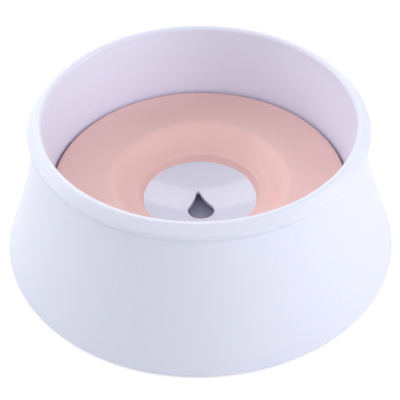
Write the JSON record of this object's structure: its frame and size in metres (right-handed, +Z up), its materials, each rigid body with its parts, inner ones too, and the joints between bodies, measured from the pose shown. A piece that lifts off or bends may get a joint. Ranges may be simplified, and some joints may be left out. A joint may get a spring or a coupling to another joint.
{
  "type": "no spill dog water bowl",
  "caption": "Round flared water bowl with a loose floating ring that carries a small dish, where water comes up through a drop-shaped hole.",
  "frame": {"origin": "on the ground, at the middle of the bowl's foot", "axes": "+Z up along the axis of the bowl; +Y towards the side that the pointed end of the drop-shaped hole looks to"},
  "size_m": [0.2096, 0.2096, 0.0805],
  "materials": {
    "bowl_plastic": "smooth semi-gloss, cool white",
    "grip_rubber": "matte soft rubber, pale grey",
    "cover_plastic": "satin, pale pink",
    "tray_plastic": "gloss, cool white"
  },
  "bodies": {
    "bowl": {"bowl": "bowl_plastic", "grip_ring": "grip_rubber"},
    "float": {"float_cover": "cover_plastic", "float_tray": "tray_plastic"}
  },
  "joints": [
    {"name": "float_lift", "type": "slide", "parent": "bowl", "child": "float", "axis": [0, 0, 1], "range_m": [0, 0.075]}
  ]
}
